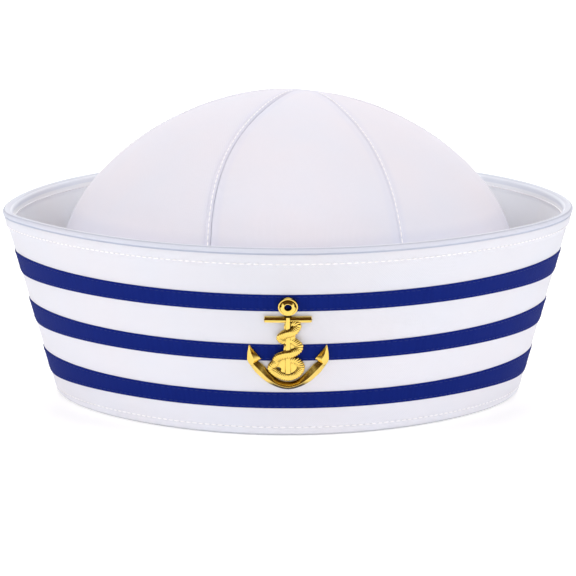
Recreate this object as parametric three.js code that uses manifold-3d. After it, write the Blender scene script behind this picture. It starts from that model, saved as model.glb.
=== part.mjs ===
// A sailor cap: a domed crown of six sewn gores, a stiff turned-up brim with three navy tapes round it,
// and a gilt anchor badge wound with rope, pinned to the front of the brim.
// Millimetres. +Z is up, the front of the cap faces -Y, and the origin is the middle of the face it rests on.
import * as THREE from "three";
import Module from "manifold-3d";
import { mergeVertices } from "three/addons/utils/BufferGeometryUtils.js";

// The plan of the cap at the fold it rests on, and how the brim flares from there to the rim
const BASE_HALF_WIDTH = 94.4;
const BASE_HALF_DEPTH = 102;
const BRIM_HEIGHT = 77.7;
const FLARE_SIDE = 21.6;
const FLARE_FRONT = 28;
const PLAN_PINCH = 0.03; // how far the oval is drawn in between its four ends, as a share of its radius

// The brim's cloth
const BRIM_WALL = 3;
const FOLD_RADIUS = 2.8;
const BEAD_HEIGHT = 3.4; // the rim is rolled over into a bead, with a groove sewn in under it
const BEAD_SWELL = 0.4;
const GROOVE_DEPTH = 0.4;
const GROOVE_WIDTH = 0.9;

// The lip that turns in under the crown, and the slot between lip and wall that holds the crown's edge
const FIT = 0.35; // clearance between sewn layers
const SLOT_FLOOR = 2.6;
const LIP_WALL = 1.2;
const LIP_HEIGHT = 8.5;
const LIP_RADIUS = 1;

// The crown
const CROWN_WALL = 1.5;
const CROWN_TOP = 122.8;
const CROWN_SHOULDER = 52; // height of the widest ring, where the wall ends and the dome begins
const CROWN_DRAW_IN = 0.8; // how far the wall leans in between the brim's lip and that ring
const DOME_POWER = 1.75;
const DOME_ROUNDNESS = 1.9;
const TIP_RIGHT = 7.6; // the gores meet this far to the right of the middle
const TIP_BACK = 8; // and this far behind it
const GORE_SWELL = 1.1; // the cloth stands this far out between two seams
const SEAM_GAP = 0.3;

// The tapes sewn round the brim, each sunk a little into its cloth
const TAPE_WIDTH = 6.5;
const TAPE_THICKNESS = 1;
const TAPE_SINK = 0.7;
const TAPE_GAP = 0.3;

// The anchor badge and its pin
const BADGE_WIDTH = 31.2;
const BADGE_HEIGHT = 40.3;
const BADGE_FOOT = 20.4; // height of the badge's lowest point up the brim
const BADGE_BACK = 1; // between the brim's cloth and the back of the badge
const BADGE_EDGE = 1.1;
const BADGE_RIDGE = 2.1;
const STOCK_LENGTH = 17.9;
const STOCK_RADIUS = 1;
const EYE_RADIUS = 2.55;
const EYE_WIRE = 1.2;
const ROPE_RADIUS = 1.25;
const PIN_RADIUS = 0.9;
const PIN_CLEARANCE = 0.35;
const PIN_UP_BADGE = 26.4; // how far up the shank the pin stands
const CLUTCH_RADIUS = 4.5;
const CLUTCH_THICKNESS = 1.2;

const STEPS_AROUND = 60;

const CLOTH_WHITE = new THREE.MeshStandardMaterial({ color: 0xf3f3f6, roughness: 0.85, metalness: 0 });
const TAPE_NAVY = new THREE.MeshStandardMaterial({ color: 0x10207a, roughness: 0.7, metalness: 0 });
const GILT = new THREE.MeshStandardMaterial({ color: 0xe3b32a, roughness: 0.25, metalness: 1 });

// The six gores, going round from the left side by the front, each with the seam it starts from. A seam runs
// straight out from the tip towards its top angle, bends over the shoulder, and goes down the wall at its foot
// angle. Both are in degrees from the front, positive to the right.
const GORES = [
  { name: "gore_front_left", top: -99, foot: -96 },
  { name: "gore_front", top: -26, foot: -19.3 },
  { name: "gore_front_right", top: 33, foot: 29.6 },
  { name: "gore_back_right", top: 98, foot: 96 },
  { name: "gore_back", top: 150, foot: 150 },
  { name: "gore_back_left", top: 207, foot: 207 },
];
const BEND_STARTS = 0.5; // as a share of the way out from the tip

// The middle of each tape, as a share of the brim's height
const TAPES = [
  { name: "tape_low", middle: 0.195 },
  { name: "tape_middle", middle: 0.451 },
  { name: "tape_high", middle: 0.713 },
];

// Half of the anchor's arms, from the crown of the anchor out to the point of its fluke: the outer and the
// inner edge at each station, across as a share of the badge's half width, and up as a share of its height
const ARM_STATIONS = [
  { outAcross: 0, outUp: 0, inAcross: 0, inUp: 0.075 },
  { outAcross: 0.29, outUp: 0.028, inAcross: 0.23, inUp: 0.102 },
  { outAcross: 0.55, outUp: 0.09, inAcross: 0.43, inUp: 0.176 },
  { outAcross: 0.8, outUp: 0.188, inAcross: 0.62, inUp: 0.266 },
  { outAcross: 0.96, outUp: 0.288, inAcross: 0.74, inUp: 0.302 },
  { outAcross: 1, outUp: 0.328, inAcross: 0.65, inUp: 0.33 },
  { outAcross: 0.985, outUp: 0.4, inAcross: 0.79, inUp: 0.402 },
  { outAcross: 0.95, outUp: 0.474, inAcross: 0.935, inUp: 0.474 },
];
const SMOOTH_ARM_STATIONS = 4; // the stations up to the fluke's barb lie on one smooth curve
const ARM_SUBSTEPS = 3;

// The shank, from the arms up to the eye
const SHANK_STATIONS = [
  { up: 0.03, half: 0.12 },
  { up: 0.3, half: 0.105 },
  { up: 0.6, half: 0.09 },
  { up: 0.86, half: 0.075 },
];
const STOCK_UP = 0.768;
const EYE_UP = 0.907;

// The rope's turns round the shank, from its end under the stock down to the coil that lies on the arms.
// Across is a share of the badge's half width, up of its height, and out of the ridge's height.
const ROPE_TURNS = [
  { across: 0.05, up: 0.745, out: 0.3 },
  { across: 0.25, up: 0.715, out: 0.5 },
  { across: 0.1, up: 0.665, out: 1.15 },
  { across: -0.1, up: 0.64, out: 1.1 },
  { across: -0.26, up: 0.59, out: 0.55 },
  { across: -0.14, up: 0.545, out: 0.35 },
  { across: 0.12, up: 0.545, out: 0.35 },
  { across: 0.31, up: 0.5, out: 0.6 },
  { across: 0.29, up: 0.45, out: 0.7 },
  { across: 0.1, up: 0.425, out: 1.15 },
  { across: -0.12, up: 0.415, out: 1.15 },
  { across: -0.32, up: 0.385, out: 0.6 },
  { across: -0.37, up: 0.32, out: 0.5 },
  { across: -0.37, up: 0.24, out: 0.5 },
  { across: -0.24, up: 0.172, out: 0.6 },
  { across: 0, up: 0.148, out: 0.75 },
  { across: 0.25, up: 0.178, out: 0.6 },
  { across: 0.375, up: 0.26, out: 0.5 },
  { across: 0.25, up: 0.34, out: 0.45 },
  { across: 0.04, up: 0.345, out: 0.35 },
];
const ROPE_SIDES = 7;
const ROPE_STEPS = 46;
// The plate cast behind the lowest coil, with the one hole that shows the cloth
const WEB_UP = 0.255;
const WEB_HALF_WIDTH = 0.38;
const WEB_HALF_HEIGHT = 0.1;
const WEB_THICKNESS = 0.8;
const WEB_HOLE_ACROSS = -0.245;
const WEB_HOLE_UP = 0.235;
const WEB_HOLE_RADIUS = 1;

const wasm = await Module();
wasm.setup();

// A closed three.js geometry as a solid that can be joined and cut
function toSolid(geometry) {
  const bare = geometry.clone();
  bare.deleteAttribute("normal");
  bare.deleteAttribute("uv");
  const merged = mergeVertices(bare, 1e-4);
  return new wasm.Manifold(
    new wasm.Mesh({
      numProp: 3,
      vertProperties: new Float32Array(merged.attributes.position.array),
      triVerts: new Uint32Array(merged.index.array),
    }),
  );
}

function toGeometry(solid) {
  const mesh = solid.getMesh();
  const geometry = new THREE.BufferGeometry();
  geometry.setAttribute("position", new THREE.BufferAttribute(new Float32Array(mesh.vertProperties), 3));
  geometry.setIndex(new THREE.BufferAttribute(new Uint32Array(mesh.triVerts), 1));
  return geometry;
}

// A closed skin over rows of points. Each row is a ring of equal length, or a single point at a pole.
function skin(rows, { rowsClose = false, ringsClose = true } = {}) {
  const positions = rows.flat().flatMap((p) => [p.x, p.y, p.z]);
  const starts = [];
  let count = 0;
  for (const row of rows) {
    starts.push(count);
    count += row.length;
  }
  const faces = [];
  const lastRow = rowsClose ? rows.length : rows.length - 1;
  for (let r = 0; r < lastRow; r++) {
    const next = (r + 1) % rows.length;
    const [low, high] = [rows[r].length, rows[next].length];
    const ring = Math.max(low, high);
    for (let i = 0; i < (ringsClose ? ring : ring - 1); i++) {
      const j = (i + 1) % ring;
      const [a, b] = [starts[r] + (low > 1 ? i : 0), starts[r] + (low > 1 ? j : 0)];
      const [c, d] = [starts[next] + (high > 1 ? i : 0), starts[next] + (high > 1 ? j : 0)];
      if (low > 1) faces.push(a, b, c);
      if (high > 1) faces.push(b, d, c);
    }
  }
  const geometry = new THREE.BufferGeometry();
  geometry.setAttribute("position", new THREE.Float32BufferAttribute(positions, 3));
  geometry.setIndex(faces);
  return geometry;
}

const radians = THREE.MathUtils.degToRad;

// The plan that every ring of the cap follows: an oval, drawn in a little between its ends
function plan(angle, halfWidth, halfDepth, height) {
  const pinch = 1 - PLAN_PINCH * Math.sin(2 * angle) ** 2;
  return new THREE.Vector3(
    halfWidth * pinch * Math.cos(angle),
    halfDepth * pinch * Math.sin(angle),
    height,
  );
}

// A point at a height of the brim, an offset out from the face of its cloth
function brimPoint(angle, { offset, height }) {
  const share = height / BRIM_HEIGHT;
  return plan(
    angle,
    BASE_HALF_WIDTH + FLARE_SIDE * share + offset,
    BASE_HALF_DEPTH + FLARE_FRONT * share + offset,
    height,
  );
}

// Points of a quarter circle in a section, from one angle to the next, in degrees
function arc(offset, height, radius, from, to, steps) {
  return Array.from({ length: steps + 1 }, (_, i) => {
    const angle = radians(from + ((to - from) * i) / steps);
    return { offset: offset + radius * Math.cos(angle), height: height + radius * Math.sin(angle) };
  });
}

// A section carried all the way round the brim
function ringOf(section) {
  const rows = section.map((point) =>
    Array.from({ length: STEPS_AROUND }, (_, i) => brimPoint((2 * Math.PI * i) / STEPS_AROUND, point)),
  );
  return skin(rows, { rowsClose: true });
}

const crownOuter = -(BRIM_WALL + FIT);
const lipOuter = crownOuter - CROWN_WALL - FIT;
const lipInner = lipOuter - LIP_WALL;

const tapeSpan = ({ middle }) => ({
  low: middle * BRIM_HEIGHT - TAPE_WIDTH / 2,
  high: middle * BRIM_HEIGHT + TAPE_WIDTH / 2,
});

// The brim: up the outside past the tapes' seats, over the rolled bead, down the inside, into the slot and
// round the lip
function brimSolid() {
  const seats = TAPES.flatMap((tape) => {
    const { low, high } = tapeSpan(tape);
    return [
      { offset: 0, height: low - TAPE_GAP },
      { offset: -TAPE_SINK, height: low - TAPE_GAP },
      { offset: -TAPE_SINK, height: high + TAPE_GAP },
      { offset: 0, height: high + TAPE_GAP },
    ];
  });
  const beadRadius = BRIM_WALL / 2 + BEAD_SWELL;
  const groove = [
    { depth: 0, height: BRIM_HEIGHT - BEAD_HEIGHT },
    { depth: GROOVE_DEPTH, height: BRIM_HEIGHT - BEAD_HEIGHT + GROOVE_WIDTH / 2 },
    { depth: 0, height: BRIM_HEIGHT - BEAD_HEIGHT + GROOVE_WIDTH },
  ];
  const section = [
    { offset: lipInner + LIP_RADIUS, height: 0 },
    ...arc(-FOLD_RADIUS, FOLD_RADIUS, FOLD_RADIUS, -90, 0, 3),
    ...seats,
    ...groove.map(({ depth, height }) => ({ offset: -depth, height })),
    ...arc(-BRIM_WALL / 2, BRIM_HEIGHT - beadRadius, beadRadius, 0, 180, 5),
    { offset: -BRIM_WALL, height: SLOT_FLOOR },
    { offset: lipOuter, height: SLOT_FLOOR },
    { offset: lipOuter, height: LIP_HEIGHT },
    { offset: lipInner, height: LIP_HEIGHT },
    { offset: lipInner, height: LIP_RADIUS },
  ];
  return toSolid(ringOf(section));
}

function tapeGeometry(tape) {
  const { low, high } = tapeSpan(tape);
  const inner = TAPE_GAP - TAPE_SINK;
  const outer = inner + TAPE_THICKNESS;
  return ringOf([
    { offset: inner, height: low },
    { offset: outer, height: low },
    { offset: outer, height: high },
    { offset: inner, height: high },
  ]);
}

// Where the gores meet, seen from above
const tip = new THREE.Vector2(TIP_RIGHT, TIP_BACK);

// The crown's outline at its widest ring, seen from above
const seatShare = LIP_HEIGHT / BRIM_HEIGHT;
const crownHalfWidth = BASE_HALF_WIDTH + FLARE_SIDE * seatShare + crownOuter - CROWN_DRAW_IN;
const crownHalfDepth = BASE_HALF_DEPTH + FLARE_FRONT * seatShare + crownOuter - CROWN_DRAW_IN;

// Seen from above, a point a share of the way from the tip to the widest ring
function fromTip(angle, share, inset) {
  const edge = plan(angle, crownHalfWidth - inset, crownHalfDepth - inset, 0);
  return new THREE.Vector2(tip.x, tip.y).lerp(new THREE.Vector2(edge.x, edge.y), share);
}

// The dome's skin over that point, set in by an inset
function domePoint(angle, share, inset) {
  const [halfWidth, halfDepth] = [crownHalfWidth - inset, crownHalfDepth - inset];
  const { x, y } = fromTip(angle, share, inset);
  const rim = plan(Math.atan2(y / halfDepth, x / halfWidth), halfWidth, halfDepth, 0);
  const radius = Math.min(1, Math.hypot(x, y) / Math.hypot(rim.x, rim.y));
  const rise = (1 - radius ** DOME_POWER) ** (1 / DOME_ROUNDNESS);
  return new THREE.Vector3(x, y, CROWN_SHOULDER + (CROWN_TOP - inset - CROWN_SHOULDER) * rise);
}

// A point of the crown's wall, a share of the way up from the lip to the widest ring
function wallPoint(angle, share, inset) {
  const foot = brimPoint(angle, { offset: crownOuter - inset, height: LIP_HEIGHT });
  return foot.lerp(domePoint(angle, 1, inset), share);
}

// The angle of a gore's first seam, a share of the way out from the tip
function seamAngle(gore, share) {
  const bent = Math.max(0, (share - BEND_STARTS) / (1 - BEND_STARTS)) ** 2;
  return radians(THREE.MathUtils.lerp(gore.top, gore.foot, Math.min(1, bent)) - 90);
}

// The seam on the far side of a gore is the next gore's first, and the last gore's is the first one again
function nextGore(gore) {
  const next = GORES[GORES.indexOf(gore) + 1];
  return next ?? { top: GORES[0].top + 360, foot: GORES[0].foot + 360 };
}

// The columns of the crown's cloth: every seam has one, and each gore's width is shared out in even steps
const crownColumns = GORES.flatMap((gore) => {
  const steps = Math.round(((nextGore(gore).foot - gore.foot) * STEPS_AROUND) / 360);
  return Array.from({ length: steps }, (_, i) => ({ gore, across: i / steps }));
});

const columnAngle = ({ gore, across }, share) =>
  THREE.MathUtils.lerp(seamAngle(gore, share), seamAngle(nextGore(gore), share), across);

// How far the cloth swells between two seams: nothing on a seam, and most half way between
const swell = ({ across }, amount) => amount * GORE_SWELL * Math.sin(Math.PI * across) ** 0.8;

// The rings of one side of the crown's cloth, first up the wall from the lip and then over the dome, where
// the share is that of the way from the tip. The amount is how much of the gores' swell each ring has.
const WALL_RINGS = [
  { share: 0, amount: 0 },
  { share: 1, amount: 1 },
];
const DOME_RINGS = [
  { share: 0.965, amount: 1 },
  { share: 0.9, amount: 1 },
  { share: 0.8, amount: 1 },
  { share: 0.67, amount: 0.9 },
  { share: 0.52, amount: 0.8 },
  { share: 0.36, amount: 0.6 },
  { share: 0.19, amount: 0.3 },
];

function crownSide(inset) {
  const heart = new THREE.Vector3(0, 0, CROWN_SHOULDER);
  const swollen = (point, column, amount) => {
    const out = point.clone().sub(heart).normalize();
    return point.addScaledVector(out, swell(column, amount));
  };
  const edge = crownColumns.map((column) =>
    brimPoint(columnAngle(column, 1), { offset: crownOuter - inset, height: SLOT_FLOOR + FIT }),
  );
  const wall = WALL_RINGS.map(({ share, amount }) =>
    crownColumns.map((column) => {
      const place = wallPoint(columnAngle(column, 1), share, inset);
      return swollen(place, column, amount);
    }),
  );
  const dome = DOME_RINGS.map(({ share, amount }) =>
    crownColumns.map((column) => {
      const place = domePoint(columnAngle(column, share), share, inset);
      return swollen(place, column, amount);
    }),
  );
  return [edge, ...wall, ...dome, [domePoint(0, 0, inset)]];
}

// The space of one gore: upright, from the tip outwards between its seams, less half the gap at each seam
const WEDGE_SHARES = [0.5, 0.65, 0.8, 0.9, 1];
function goreWedge(gore) {
  const seams = [gore, nextGore(gore)];
  const lines = seams.map((seam) => WEDGE_SHARES.map((share) => fromTip(seamAngle(seam, share), share, 0)));
  const headings = lines.map((line) => line[0].clone().sub(tip).normalize());
  const between = headings[0].clone().add(headings[1]).normalize();
  const halfAngle = Math.acos(headings[0].dot(between));
  const sides = lines.map((line, i) => {
    const square = new THREE.Vector2(-headings[i].y, headings[i].x);
    const inwards = square.multiplyScalar(Math.sign(square.dot(between)) * (SEAM_GAP / 2));
    const outside = line.at(-1).clone().multiplyScalar(2);
    return [...line, outside].map((place) => place.clone().add(inwards));
  });
  const point = tip.clone().addScaledVector(between, SEAM_GAP / 2 / Math.sin(halfAngle));
  const beyond = tip.clone().addScaledVector(between, 4 * crownHalfDepth);
  const outline = new THREE.Shape([point, ...sides[0], beyond, ...sides[1].toReversed()]);
  return toSolid(new THREE.ExtrudeGeometry(outline, { depth: 2 * CROWN_TOP, bevelEnabled: false }));
}

// The face of the brim behind the badge: across from the middle of the front, and up along the cloth's slope
const slope = Math.atan2(FLARE_FRONT, BRIM_HEIGHT);
function frontFace(across, up) {
  const height = BADGE_FOOT + up * Math.cos(slope);
  const halfWidth = BASE_HALF_WIDTH + (FLARE_SIDE * height) / BRIM_HEIGHT;
  let turn = across / halfWidth;
  for (let i = 0; i < 4; i++) {
    const pinch = 1 - PLAN_PINCH * Math.sin(2 * turn) ** 2;
    turn = Math.asin(across / (halfWidth * pinch));
  }
  return brimPoint(turn - Math.PI / 2, { offset: 0, height });
}

// A point that stands out from that face, square to it
function offFront(across, up, out) {
  const reach = 0.01;
  const alongFront = frontFace(across + reach, up).sub(frontFace(across - reach, up));
  const upFront = frontFace(across, up + reach).sub(frontFace(across, up - reach));
  return frontFace(across, up).addScaledVector(alongFront.cross(upFront).normalize(), out);
}

// Lays a piece of the badge on the brim: its x runs across, its y up and its z out
function laidOnFront(geometry) {
  const laid = geometry.clone();
  const places = laid.getAttribute("position");
  for (let i = 0; i < places.count; i++) {
    const p = offFront(places.getX(i), places.getY(i), places.getZ(i));
    places.setXYZ(i, p.x, p.y, p.z);
  }
  return toSolid(laid);
}

const badgeHalf = BADGE_WIDTH / 2;
const badgeAt = (across, up, out) =>
  new THREE.Vector3(across * badgeHalf, up * BADGE_HEIGHT, BADGE_BACK + out);

// A bar with a ridge along its middle, through stations that each give its two edges
function ridgedBar(stations) {
  const rows = stations.map(({ left, right }) => {
    const lift = (point, out) => point.clone().setZ(BADGE_BACK + out);
    const ridge = lift(left.clone().lerp(right, 0.5), BADGE_RIDGE);
    return [lift(left, 0), lift(right, 0), lift(right, BADGE_EDGE), ridge, lift(left, BADGE_EDGE)];
  });
  const centre = (row) => [row.reduce((sum, p) => sum.add(p), new THREE.Vector3()).divideScalar(row.length)];
  return skin([centre(rows[0]), ...rows, centre(rows.at(-1))]);
}

function armStations() {
  const flip = (p) => new THREE.Vector3(-p.x, p.y, p.z);
  const edge = (across, up) => {
    const points = ARM_STATIONS.map((s) => badgeAt(s[across], s[up], 0));
    const smooth = points.slice(0, SMOOTH_ARM_STATIONS);
    const curve = new THREE.CatmullRomCurve3([...smooth.slice(1).toReversed().map(flip), ...smooth]);
    const steps = (SMOOTH_ARM_STATIONS - 1) * ARM_SUBSTEPS;
    const half = Array.from({ length: steps + 1 }, (_, i) => curve.getPoint(0.5 + (0.5 * i) / steps));
    return [...half, ...points.slice(SMOOTH_ARM_STATIONS)];
  };
  const inner = edge("inAcross", "inUp");
  const rightArm = edge("outAcross", "outUp").map((point, i) => ({ left: point, right: inner[i] }));
  const leftArm = rightArm.slice(1).toReversed().map((s) => ({ left: flip(s.left), right: flip(s.right) }));
  return [...leftArm, ...rightArm];
}

function ropeGeometry() {
  const places = ROPE_TURNS.map(({ across, up, out }) => badgeAt(across, up, out * BADGE_RIDGE));
  const section = new THREE.Shape(
    Array.from({ length: ROPE_SIDES }, (_, i) => {
      const angle = (2 * Math.PI * i) / ROPE_SIDES;
      return new THREE.Vector2(ROPE_RADIUS * Math.cos(angle), ROPE_RADIUS * Math.sin(angle));
    }),
  );
  return new THREE.ExtrudeGeometry(section, {
    steps: ROPE_STEPS,
    extrudePath: new THREE.CatmullRomCurve3(places),
    bevelEnabled: false,
  });
}

function webGeometry() {
  const shape = new THREE.Shape();
  const [halfWidth, halfHeight] = [WEB_HALF_WIDTH * badgeHalf, WEB_HALF_HEIGHT * BADGE_HEIGHT];
  shape.absellipse(0, WEB_UP * BADGE_HEIGHT, halfWidth, halfHeight, 0, 2 * Math.PI);
  const hole = new THREE.Path();
  const [holeX, holeY] = [WEB_HOLE_ACROSS * badgeHalf, WEB_HOLE_UP * BADGE_HEIGHT];
  hole.absarc(holeX, holeY, WEB_HOLE_RADIUS, 0, 2 * Math.PI, true);
  shape.holes.push(hole);
  return new THREE.ExtrudeGeometry(shape, { depth: WEB_THICKNESS, bevelEnabled: false, curveSegments: 6 })
    .translate(0, 0, BADGE_BACK);
}

// Everything on the badge is cast in one piece, its rope too. What would reach behind its back is cut off,
// and the pockets that the rope closes off against the shank are left full of metal.
function badgeSolid() {
  const shank = SHANK_STATIONS.map(({ up, half }) => ({
    left: badgeAt(-half, up, 0),
    right: badgeAt(half, up, 0),
  })).toReversed();
  const stock = new THREE.CylinderGeometry(STOCK_RADIUS, STOCK_RADIUS, STOCK_LENGTH, 10, 6)
    .rotateZ(Math.PI / 2)
    .translate(0, STOCK_UP * BADGE_HEIGHT, BADGE_BACK + STOCK_RADIUS);
  const eye = new THREE.TorusGeometry(EYE_RADIUS, EYE_WIRE, 8, 20)
    .translate(0, EYE_UP * BADGE_HEIGHT, BADGE_BACK + EYE_WIRE);
  const back = new THREE.BoxGeometry(2 * BADGE_WIDTH, 2 * BADGE_HEIGHT, 2 * BADGE_RIDGE, 16, 8, 1)
    .translate(0, BADGE_HEIGHT / 2, BADGE_BACK - BADGE_RIDGE);
  return [ridgedBar(armStations()), ridgedBar(shank), stock, eye, ropeGeometry(), webGeometry()]
    .map(laidOnFront)
    .reduce((joined, piece) => joined.add(piece))
    .subtract(laidOnFront(back))
    .decompose()
    .reduce((largest, piece) => (piece.volume() > largest.volume() ? piece : largest));
}

// A round bar square to the brim's face at the pin, between two distances out from that face
function pinBar(radius, inner, outer) {
  const foot = offFront(0, PIN_UP_BADGE, inner);
  const head = offFront(0, PIN_UP_BADGE, outer);
  const along = head.clone().sub(foot);
  const bar = new THREE.CylinderGeometry(radius, radius, along.length(), 16);
  const upright = new THREE.Vector3(0, 1, 0);
  bar.applyQuaternion(new THREE.Quaternion().setFromUnitVectors(upright, along.normalize()));
  const middle = foot.add(head).divideScalar(2);
  return toSolid(bar.translate(middle.x, middle.y, middle.z));
}

// The clutch stands square to the pin, so its face is measured through the leaning wall
const wallAcross = BRIM_WALL * Math.cos(slope);
const clutchFace = -(wallAcross + 2 * FIT);
const pinHole = pinBar(PIN_RADIUS + PIN_CLEARANCE, -2 * BRIM_WALL, BRIM_WALL);
const pin = pinBar(PIN_RADIUS, clutchFace - CLUTCH_THICKNESS / 2, BADGE_BACK - PIN_CLEARANCE).add(
  pinBar(CLUTCH_RADIUS, clutchFace - CLUTCH_THICKNESS, clutchFace),
);

const cap = new THREE.Group();

function addPiece(name, geometry, material) {
  const piece = new THREE.Mesh(geometry, material);
  piece.name = name;
  cap.add(piece);
}

addPiece("brim", toGeometry(brimSolid().subtract(pinHole)), CLOTH_WHITE);

const crown = toSolid(skin([...crownSide(0), ...crownSide(CROWN_WALL).toReversed()], { rowsClose: true }));
for (const gore of GORES) {
  addPiece(gore.name, toGeometry(crown.intersect(goreWedge(gore))), CLOTH_WHITE);
}

for (const tape of TAPES) {
  addPiece(tape.name, tapeGeometry(tape), TAPE_NAVY);
}

addPiece("anchor_badge", toGeometry(badgeSolid()), GILT);
addPiece("badge_pin", toGeometry(pin), GILT);

export default cap;
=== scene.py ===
# %% [markdown]
# This lesson dresses a sailor cap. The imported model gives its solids, which have the right sizes and plain
# faces. Each one gets the surface of the real thing here: white twill with pressed seams, woven navy tape,
# rows of stitches and a gilt badge. Everything is in the solids' own frame: metres, +Z up, and the front
# towards -Y. The cap's sizes are in millimetres, and the places of camera and lights in metres. A table
# names its columns first.

# %% Load the frame
import math
import random

import bmesh
import bpy
from mathutils import Matrix, Vector, noise


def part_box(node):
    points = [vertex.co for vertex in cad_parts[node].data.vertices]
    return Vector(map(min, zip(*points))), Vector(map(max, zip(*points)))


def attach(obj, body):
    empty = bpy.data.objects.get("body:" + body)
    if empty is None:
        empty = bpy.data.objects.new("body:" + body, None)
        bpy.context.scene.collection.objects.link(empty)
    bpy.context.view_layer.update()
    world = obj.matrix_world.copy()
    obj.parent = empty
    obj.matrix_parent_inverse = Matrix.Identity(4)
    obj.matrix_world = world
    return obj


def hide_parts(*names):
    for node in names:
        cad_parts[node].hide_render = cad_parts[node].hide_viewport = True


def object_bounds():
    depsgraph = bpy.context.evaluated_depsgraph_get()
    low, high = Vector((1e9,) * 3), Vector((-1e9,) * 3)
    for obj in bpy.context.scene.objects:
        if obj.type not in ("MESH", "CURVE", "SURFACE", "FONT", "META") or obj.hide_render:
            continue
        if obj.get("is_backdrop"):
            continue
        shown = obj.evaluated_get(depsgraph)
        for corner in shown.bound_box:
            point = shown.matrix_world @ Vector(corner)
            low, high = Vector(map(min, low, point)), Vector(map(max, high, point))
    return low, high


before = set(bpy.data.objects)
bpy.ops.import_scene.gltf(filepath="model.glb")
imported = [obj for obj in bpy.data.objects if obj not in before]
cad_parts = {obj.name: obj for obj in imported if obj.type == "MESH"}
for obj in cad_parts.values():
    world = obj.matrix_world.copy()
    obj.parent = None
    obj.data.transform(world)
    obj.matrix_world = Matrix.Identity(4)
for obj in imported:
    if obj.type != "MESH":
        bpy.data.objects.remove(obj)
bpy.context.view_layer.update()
MM = 0.001


def table(columns, *rows):
    return [dict(zip(columns.split(), row)) for row in rows]


# %% [markdown]
# The camera comes first, so that every later step can be looked at. The photograph was taken from far off,
# a little above the rim: the rim's front and back edges and the flat stripes between them give that
# height. An orthographic camera could copy a long lens, but a real one also shows the front of the cap a
# little larger than its back.

# %% Camera
CAMERA_AWAY = 1.65
CAMERA_HEIGHT = 0.311
CAMERA_DOWN = 0.162
LENS_MM = 255.4

camera = bpy.data.objects.new("camera", bpy.data.cameras.new("camera"))
camera.data.sensor_width = 36
camera.data.lens = LENS_MM
camera.location = (0, -CAMERA_AWAY, CAMERA_HEIGHT)
camera.rotation_euler = (math.pi / 2 - CAMERA_DOWN, 0, 0)
camera.data.clip_end = 50
bpy.context.scene.collection.objects.link(camera)
bpy.context.scene.camera = camera
print("camera", CAMERA_AWAY, "m away, looking down by", round(math.degrees(CAMERA_DOWN), 1), "degrees")

# %% [markdown]
# A finish is a small tree of shader nodes. It is quicker to read when each node is one line, so these
# helpers add a node, set its inputs and join the links that are given. A number that is the same all over
# a surface is set on the shader's own socket and never linked.

# %% A helper for finishes
def new_finish(name, **sockets):
    finish = bpy.data.materials.new(name)
    finish.use_nodes = True
    shader = finish.node_tree.nodes["Principled BSDF"]
    for socket, value in sockets.items():
        shader.inputs[socket.replace("_", " ")].default_value = value
    return finish, finish.node_tree, shader


def add_node(tree, kind, inputs=None, **settings):
    node = tree.nodes.new(kind)
    for setting, value in settings.items():
        setattr(node, setting, value)
    for socket, value in (inputs or {}).items():
        if isinstance(value, bpy.types.NodeSocket):
            tree.links.new(value, node.inputs[socket])
        else:
            node.inputs[socket].default_value = value
    return node


def sums(tree, operation, *values):
    return add_node(tree, "ShaderNodeMath", dict(enumerate(values)), operation=operation).outputs[0]


def ripple(tree, coordinate, pitch):
    turns = sums(tree, "MULTIPLY", coordinate, 2 * math.pi / (pitch * MM))
    return sums(tree, "SINE", turns)


def parts(tree, vector):
    return add_node(tree, "ShaderNodeSeparateXYZ", {0: vector}).outputs


def uv_layer(tree, name):
    return add_node(tree, "ShaderNodeUVMap", uv_map=name).outputs[0]


def object_place(tree):
    return add_node(tree, "ShaderNodeTexCoord").outputs["Object"]


def clouded(tree, vector, scale, detail=2, roughness=0.5):
    inputs = {"Vector": vector, "Scale": scale, "Detail": detail, "Roughness": roughness}
    return add_node(tree, "ShaderNodeTexNoise", inputs).outputs[0]


def ranged(tree, value, span, reach=(0, 1), **settings):
    """Turns a span of values into a reach. What lies outside the span stays at an end of the reach."""
    names = ("Value", "From Min", "From Max", "To Min", "To Max")
    inputs = dict(zip(names, (value, *span, *reach)))
    return add_node(tree, "ShaderNodeMapRange", inputs, **settings).outputs[0]


def mixed(tree, factor, *colours, blend="MIX"):
    """Mixes two colours, each given by a socket or by three numbers."""
    inputs = {"Factor": factor}
    for side, colour in zip("AB", colours):
        inputs[side] = colour if isinstance(colour, bpy.types.NodeSocket) else (*colour, 1)
    return add_node(tree, "ShaderNodeMix", inputs, data_type="RGBA", blend_type=blend).outputs[2]


def add_bump(tree, shader, height, strength, distance):
    inputs = {"Height": height, "Strength": strength, "Distance": distance * MM}
    tree.links.new(add_node(tree, "ShaderNodeBump", inputs).outputs[0], shader.inputs["Normal"])


print("finish helpers ready")

# %% [markdown]
# Twill is woven so that its threads step sideways on each row, which draws fine slanting ribs. The threads
# are less than half a millimetre wide, so a bump is enough: one ripple for the ribs and a fainter pair for
# the threads. It reads the piece's own UV map, in metres along and across the cloth, so the weave follows
# every panel. A soft noise clouds the white, as in washed cotton.

# %% White twill
TWILL_PITCH = 0.62
THREAD_PITCH = 0.31
THREADS_SHOW = 0.4
FUZZ_SCALE = 2600
FUZZ_SHOWS = 1.2
CLOUD_SCALE = 22
VALLEY_SHADE_BASE = 0.985
VALLEY_SHADE_STEP = 0.012


def band(tree, coordinate, low, high, soft):
    """1 where the coordinate lies between two values in millimetres, fading out over the soft width."""
    smooth = {"interpolation_type": "SMOOTHSTEP"}
    above = ranged(tree, coordinate, ((low - soft) * MM, low * MM), **smooth)
    below = ranged(tree, coordinate, (high * MM, (high + soft) * MM), (1, 0), **smooth)
    return sums(tree, "MULTIPLY", above, below)


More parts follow.
